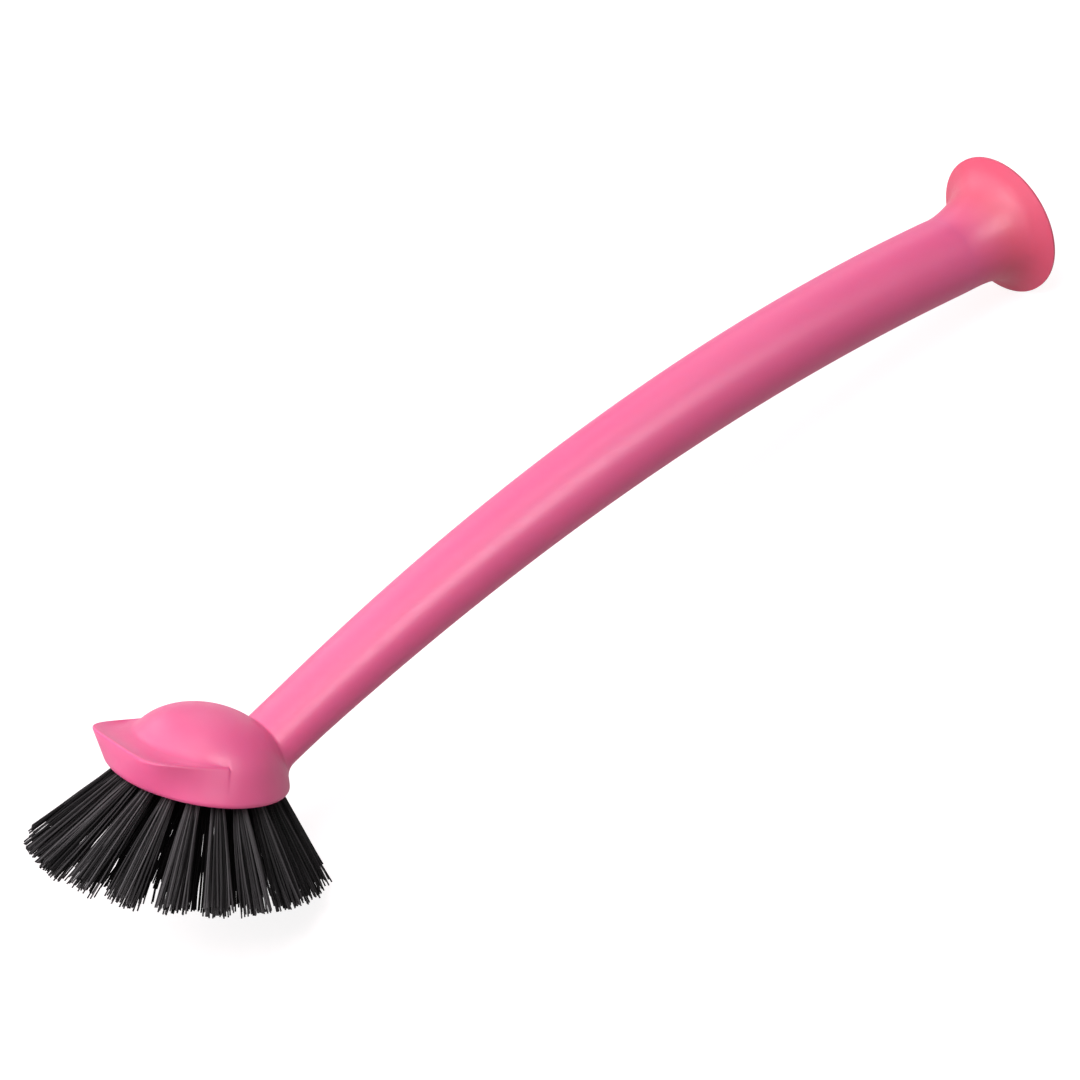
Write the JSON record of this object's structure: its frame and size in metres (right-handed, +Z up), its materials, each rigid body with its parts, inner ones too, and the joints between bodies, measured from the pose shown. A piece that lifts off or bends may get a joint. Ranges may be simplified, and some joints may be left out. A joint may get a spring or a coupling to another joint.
{
  "type": "dish brush",
  "caption": "Dish brush with a long bowed handle, a domed head with a scraper lip and fanned bristle tufts, and a suction cup on the handle's end.",
  "frame": {"origin": "middle of the bounding box's underside, on the worktop", "axes": "+X along the handle towards the suction cup, +Z up. The brush lies on its rear bristles and the suction cup's rim, as it does on a worktop."},
  "size_m": [0.2932, 0.0592, 0.0561],
  "materials": {
    "body": "satin gloss, moulded pink",
    "cup": "smooth soft pink",
    "bristles": "satin black filaments",
    "anchors": "cut strip"
  },
  "bodies": {
    "root": {"centre_anchor_01": "anchors", "centre_tuft_01": "bristles", "handle_body": "body", "middle_anchor_01": "anchors", "middle_anchor_02": "anchors", "middle_anchor_03": "anchors", "middle_anchor_04": "anchors", "middle_anchor_05": "anchors", "middle_anchor_06": "anchors", "middle_anchor_07": "anchors", "middle_anchor_08": "anchors", "middle_tuft_01": "bristles", "middle_tuft_02": "bristles", "middle_tuft_03": "bristles", "middle_tuft_04": "bristles", "middle_tuft_05": "bristles", "middle_tuft_06": "bristles", "middle_tuft_07": "bristles", "middle_tuft_08": "bristles", "outer_anchor_01": "anchors", "outer_anchor_02": "anchors", "outer_anchor_03": "anchors", "outer_anchor_04": "anchors", "outer_anchor_05": "anchors", "outer_anchor_06": "anchors", "outer_anchor_07": "anchors", "outer_anchor_08": "anchors", "outer_anchor_09": "anchors", "outer_anchor_10": "anchors", "outer_anchor_11": "anchors", "outer_anchor_12": "anchors", "outer_anchor_13": "anchors", "outer_anchor_14": "anchors", "outer_anchor_15": "anchors", "outer_anchor_16": "anchors", "outer_anchor_17": "anchors", "outer_anchor_18": "anchors", "outer_anchor_19": "anchors", "outer_anchor_20": "anchors", "outer_tuft_01": "bristles", "outer_tuft_02": "bristles", "outer_tuft_03": "bristles", "outer_tuft_04": "bristles", "outer_tuft_05": "bristles", "outer_tuft_06": "bristles", "outer_tuft_07": "bristles", "outer_tuft_08": "bristles", "outer_tuft_09": "bristles", "outer_tuft_10": "bristles", "outer_tuft_11": "bristles", "outer_tuft_12": "bristles", "outer_tuft_13": "bristles", "outer_tuft_14": "bristles", "outer_tuft_15": "bristles", "outer_tuft_16": "bristles", "outer_tuft_17": "bristles", "outer_tuft_18": "bristles", "outer_tuft_19": "bristles", "outer_tuft_20": "bristles", "suction_cup": "cup"}
  },
  "joints": []
}
